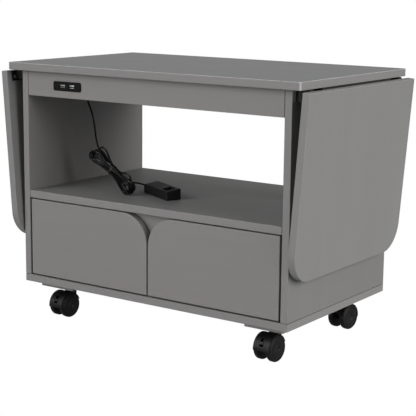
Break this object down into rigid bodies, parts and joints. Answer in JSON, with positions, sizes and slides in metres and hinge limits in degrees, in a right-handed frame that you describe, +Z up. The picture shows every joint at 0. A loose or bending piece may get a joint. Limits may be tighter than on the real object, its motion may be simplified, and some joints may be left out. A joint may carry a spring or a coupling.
{
  "type": "sewing table",
  "caption": "Drop-leaf sewing table on swivel casters, with drawers under an open shelf and a charging module with a corded adapter.",
  "frame": {"origin": "centre of the carcass's footprint, on the floor", "axes": "+X to the table's right along its length, +Y to its back, +Z up; drawers open towards -Y; both leaves hang at rest"},
  "size_m": [0.717, 0.4, 0.523],
  "materials": {
    "oak_grey_laminate": "matt grey wood-grain laminate on particle board",
    "drawer_board": "plain matt grey foil on fibreboard",
    "zinc_steel": "zinc plated",
    "black_steel": "satin black paint",
    "caster_plastic": "moulded, fine texture",
    "caster_tread": "moulded nylon, slight sheen",
    "module_plastic": "moulded, fine texture",
    "bright_steel": "bright folded sheet",
    "white_plastic": "white contact carrier",
    "cord_rubber": "matt black",
    "cord_sheath": "satin black PVC",
    "tie_wire": "black twist tie",
    "adapter_plastic": "moulded, fine texture, polished edges",
    "brass_blade": "plated brass"
  },
  "bodies": {
    "root": {"tabletop": "oak_grey_laminate", "side_panel_left": "oak_grey_laminate", "side_panel_right": "oak_grey_laminate", "base_panel": "oak_grey_laminate", "shelf_panel": "oak_grey_laminate", "front_rail": "oak_grey_laminate", "back_rail": "oak_grey_laminate", "back_panel": "oak_grey_laminate", "centre_post": "oak_grey_laminate", "drawer_partitions": "oak_grey_laminate", "caster_pads": "oak_grey_laminate", "caster_plates": "black_steel", "caster_screws": "zinc_steel", "caster_kingpins": "zinc_steel", "top_hinge_plates": "black_steel", "hinge_pins": "zinc_steel", "leaf_bracket_housings": "black_steel", "drawer_slide_rails": "zinc_steel", "usb_bezel": "module_plastic", "usb_housing": "module_plastic", "usb_port_shells": "bright_steel", "usb_port_tongues": "white_plastic", "usb_strain_relief": "cord_rubber", "cord_lead": "cord_sheath", "cord_hank": "cord_sheath", "cord_tie": "tie_wire", "cord_tail": "cord_sheath", "adapter_strain_relief": "cord_rubber", "adapter_case": "adapter_plastic"},
    "leaf_left": {"leaf_left": "oak_grey_laminate", "leaf_hinge_plate_left": "black_steel", "leaf_bracket_arms_left": "black_steel"},
    "leaf_right": {"leaf_right": "oak_grey_laminate", "leaf_hinge_plate_right": "black_steel", "leaf_bracket_arms_right": "black_steel"},
    "drawer_left": {"drawer_front_left": "oak_grey_laminate", "drawer_walls_left": "drawer_board", "drawer_bottom_left": "drawer_board", "slide_inner_left": "zinc_steel"},
    "slide_middle_left": {"slide_middle_left": "zinc_steel"},
    "drawer_right": {"drawer_front_right": "oak_grey_laminate", "drawer_walls_right": "drawer_board", "drawer_bottom_right": "drawer_board", "slide_inner_right": "zinc_steel"},
    "slide_middle_right": {"slide_middle_right": "zinc_steel"},
    "swivel_front_left": {"caster_hood_front_left": "caster_plastic"},
    "wheels_front_left": {"caster_axle_front_left": "zinc_steel", "caster_wheels_front_left": "caster_tread"},
    "brake_front_left": {"brake_lever_front_left": "caster_plastic"},
    "swivel_front_right": {"caster_hood_front_right": "caster_plastic"},
    "wheels_front_right": {"caster_axle_front_right": "zinc_steel", "caster_wheels_front_right": "caster_tread"},
    "brake_front_right": {"brake_lever_front_right": "caster_plastic"},
    "swivel_rear_left": {"caster_hood_rear_left": "caster_plastic"},
    "wheels_rear_left": {"caster_axle_rear_left": "zinc_steel", "caster_wheels_rear_left": "caster_tread"},
    "swivel_rear_right": {"caster_hood_rear_right": "caster_plastic"},
    "wheels_rear_right": {"caster_axle_rear_right": "zinc_steel", "caster_wheels_rear_right": "caster_tread"},
    "adapter_blades": {"adapter_blades": "brass_blade"}
  },
  "joints": [
    {"name": "leaf_hinge_left", "type": "hinge", "parent": "root", "child": "leaf_left", "pos_m": [-0.3409, 0, 0.5053], "axis": [0, 1, 0], "range_deg": [0, 94.3]},
    {"name": "leaf_hinge_right", "type": "hinge", "parent": "root", "child": "leaf_right", "pos_m": [0.3409, 0, 0.5053], "axis": [0, -1, 0], "range_deg": [0, 94.3]},
    {"name": "drawer_slide_left", "type": "slide", "parent": "root", "child": "drawer_left", "axis": [0, -1, 0], "range_m": [0, 0.25]},
    {"name": "middle_slide_left", "type": "slide", "parent": "root", "child": "slide_middle_left", "axis": [0, -1, 0], "range_m": [0, 0.125]},
    {"name": "drawer_slide_right", "type": "slide", "parent": "root", "child": "drawer_right", "axis": [0, -1, 0], "range_m": [0, 0.25]},
    {"name": "middle_slide_right", "type": "slide", "parent": "root", "child": "slide_middle_right", "axis": [0, -1, 0], "range_m": [0, 0.125]},
    {"name": "swivel_front_left", "type": "hinge", "parent": "root", "child": "swivel_front_left", "pos_m": [-0.2505, -0.12, 0.058], "axis": [0, 0, 1], "continuous": true},
    {"name": "wheel_spin_front_left", "type": "hinge", "parent": "swivel_front_left", "child": "wheels_front_left", "pos_m": [-0.25176, -0.13796, 0.025], "axis": [0.9976, -0.0698, 0], "continuous": true},
    {"name": "brake_front_left", "type": "hinge", "parent": "swivel_front_left", "child": "brake_front_left", "pos_m": [-0.25257, -0.14963, 0.03997], "axis": [0.9976, -0.0698, 0], "range_deg": [0, 9]},
    {"name": "swivel_front_right", "type": "hinge", "parent": "root", "child": "swivel_front_right", "pos_m": [0.2505, -0.12, 0.058], "axis": [0, 0, 1], "continuous": true},
    {"name": "wheel_spin_front_right", "type": "hinge", "parent": "swivel_front_right", "child": "wheels_front_right", "pos_m": [0.24924, -0.13796, 0.025], "axis": [0.9976, -0.0698, 0], "continuous": true},
    {"name": "brake_front_right", "type": "hinge", "parent": "swivel_front_right", "child": "brake_front_right", "pos_m": [0.24843, -0.14963, 0.03997], "axis": [0.9976, -0.0698, 0], "range_deg": [0, 9]},
    {"name": "swivel_rear_left", "type": "hinge", "parent": "root", "child": "swivel_rear_left", "pos_m": [-0.2505, 0.116, 0.058], "axis": [0, 0, 1], "continuous": true},
    {"name": "wheel_spin_rear_left", "type": "hinge", "parent": "swivel_rear_left", "child": "wheels_rear_left", "pos_m": [-0.24799, 0.13382, 0.025], "axis": [-0.9903, 0.1392, 0], "continuous": true},
    {"name": "swivel_rear_right", "type": "hinge", "parent": "root", "child": "swivel_rear_right", "pos_m": [0.2505, 0.116, 0.058], "axis": [0, 0, 1], "continuous": true},
    {"name": "wheel_spin_rear_right", "type": "hinge", "parent": "swivel_rear_right", "child": "wheels_rear_right", "pos_m": [0.253, 0.13382, 0.025], "axis": [-0.9903, 0.1392, 0], "continuous": true},
    {"name": "adapter_blades_fold", "type": "hinge", "parent": "root", "child": "adapter_blades", "pos_m": [-0.01343, -0.09273, 0.279], "axis": [0.4587, 0.8886, 0], "range_deg": [0, 90]}
  ],
  "couplings": [
    {"joint": "middle_slide_left", "follows": "drawer_slide_left", "ratio": 0.5},
    {"joint": "middle_slide_right", "follows": "drawer_slide_right", "ratio": 0.5}
  ]
}
